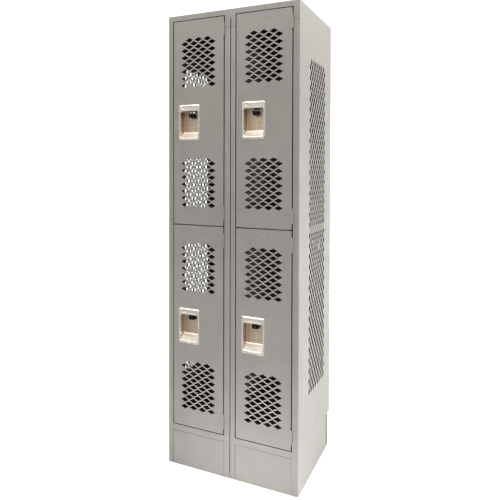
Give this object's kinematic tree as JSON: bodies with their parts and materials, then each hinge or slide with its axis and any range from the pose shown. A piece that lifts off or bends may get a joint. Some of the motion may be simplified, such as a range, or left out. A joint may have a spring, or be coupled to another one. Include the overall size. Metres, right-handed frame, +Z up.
{
  "type": "locker cabinet",
  "caption": "Free-standing steel locker cabinet with hinged ventilated doors in two tiers and two columns, recessed handle cups with lift latches, perforated sides and a closed base.",
  "frame": {"origin": "on the floor, under the middle of the whole cabinet's box", "axes": "+Z up, -Y out of the doors, +X to the right as seen from the front"},
  "size_m": [0.6096, 0.4659, 1.9812],
  "materials": {
    "grey_enamel": "smooth baked enamel, low gloss",
    "stainless_steel": "drawn stainless, fine brushed",
    "black_enamel": "black enamel, satin",
    "zinc_plated_steel": "zinc plated",
    "black_rubber": "matte"
  },
  "bodies": {
    "carcass": {"left_side_panel": "grey_enamel", "right_side_panel": "grey_enamel", "centre_partition": "grey_enamel", "back_panel": "grey_enamel", "top_panel": "grey_enamel", "left_latch_upright": "grey_enamel", "right_latch_upright": "grey_enamel", "left_hinge_upright": "grey_enamel", "right_hinge_upright": "grey_enamel", "left_header": "grey_enamel", "right_header": "grey_enamel", "sills": "grey_enamel", "left_base_front": "grey_enamel", "right_base_front": "grey_enamel", "left_tier_shelf": "grey_enamel", "right_tier_shelf": "grey_enamel", "left_locker_floor": "grey_enamel", "right_locker_floor": "grey_enamel", "rear_legs": "grey_enamel", "frame_hinge_leaves": "grey_enamel", "frame_hooks": "grey_enamel", "door_bumpers": "black_rubber", "coat_hooks": "zinc_plated_steel", "coat_hook_bolts": "zinc_plated_steel"},
    "lower_left_door": {"lower_left_door_panel": "grey_enamel", "lower_left_latch_channel": "grey_enamel", "lower_left_handle_cup": "stainless_steel", "lower_left_cup_rivets": "zinc_plated_steel", "lower_left_padlock_staple": "black_enamel", "lower_left_door_hinge_leaves": "grey_enamel", "lower_left_hinge_pins": "zinc_plated_steel"},
    "lower_left_latch": {"lower_left_lift_trigger": "black_enamel", "lower_left_lock_bar": "zinc_plated_steel"},
    "upper_left_door": {"upper_left_door_panel": "grey_enamel", "upper_left_latch_channel": "grey_enamel", "upper_left_handle_cup": "stainless_steel", "upper_left_cup_rivets": "zinc_plated_steel", "upper_left_padlock_staple": "black_enamel", "upper_left_door_hinge_leaves": "grey_enamel", "upper_left_hinge_pins": "zinc_plated_steel"},
    "upper_left_latch": {"upper_left_lift_trigger": "black_enamel", "upper_left_lock_bar": "zinc_plated_steel"},
    "lower_right_door": {"lower_right_door_panel": "grey_enamel", "lower_right_latch_channel": "grey_enamel", "lower_right_handle_cup": "stainless_steel", "lower_right_cup_rivets": "zinc_plated_steel", "lower_right_padlock_staple": "black_enamel", "lower_right_door_hinge_leaves": "grey_enamel", "lower_right_hinge_pins": "zinc_plated_steel"},
    "lower_right_latch": {"lower_right_lift_trigger": "black_enamel", "lower_right_lock_bar": "zinc_plated_steel"},
    "upper_right_door": {"upper_right_door_panel": "grey_enamel", "upper_right_latch_channel": "grey_enamel", "upper_right_handle_cup": "stainless_steel", "upper_right_cup_rivets": "zinc_plated_steel", "upper_right_padlock_staple": "black_enamel", "upper_right_door_hinge_leaves": "grey_enamel", "upper_right_hinge_pins": "zinc_plated_steel"},
    "upper_right_latch": {"upper_right_lift_trigger": "black_enamel", "upper_right_lock_bar": "zinc_plated_steel"}
  },
  "joints": [
    {"name": "lower_left_door_swing", "type": "hinge", "parent": "carcass", "child": "lower_left_door", "pos_m": [-0.02965, -0.22875, 0.6227], "axis": [0, 0, 1], "range_deg": [0, 110]},
    {"name": "lower_left_latch_lift", "type": "slide", "parent": "lower_left_door", "child": "lower_left_latch", "axis": [0, 0, 1], "range_m": [0, 0.008]},
    {"name": "upper_left_door_swing", "type": "hinge", "parent": "carcass", "child": "upper_left_door", "pos_m": [-0.02965, -0.22875, 1.5121], "axis": [0, 0, 1], "range_deg": [0, 110]},
    {"name": "upper_left_latch_lift", "type": "slide", "parent": "upper_left_door", "child": "upper_left_latch", "axis": [0, 0, 1], "range_m": [0, 0.008]},
    {"name": "lower_right_door_swing", "type": "hinge", "parent": "carcass", "child": "lower_right_door", "pos_m": [0.2759, -0.22875, 0.6227], "axis": [0, 0, 1], "range_deg": [0, 110]},
    {"name": "lower_right_latch_lift", "type": "slide", "parent": "lower_right_door", "child": "lower_right_latch", "axis": [0, 0, 1], "range_m": [0, 0.008]},
    {"name": "upper_right_door_swing", "type": "hinge", "parent": "carcass", "child": "upper_right_door", "pos_m": [0.2759, -0.22875, 1.5121], "axis": [0, 0, 1], "range_deg": [0, 110]},
    {"name": "upper_right_latch_lift", "type": "slide", "parent": "upper_right_door", "child": "upper_right_latch", "axis": [0, 0, 1], "range_m": [0, 0.008]}
  ]
}
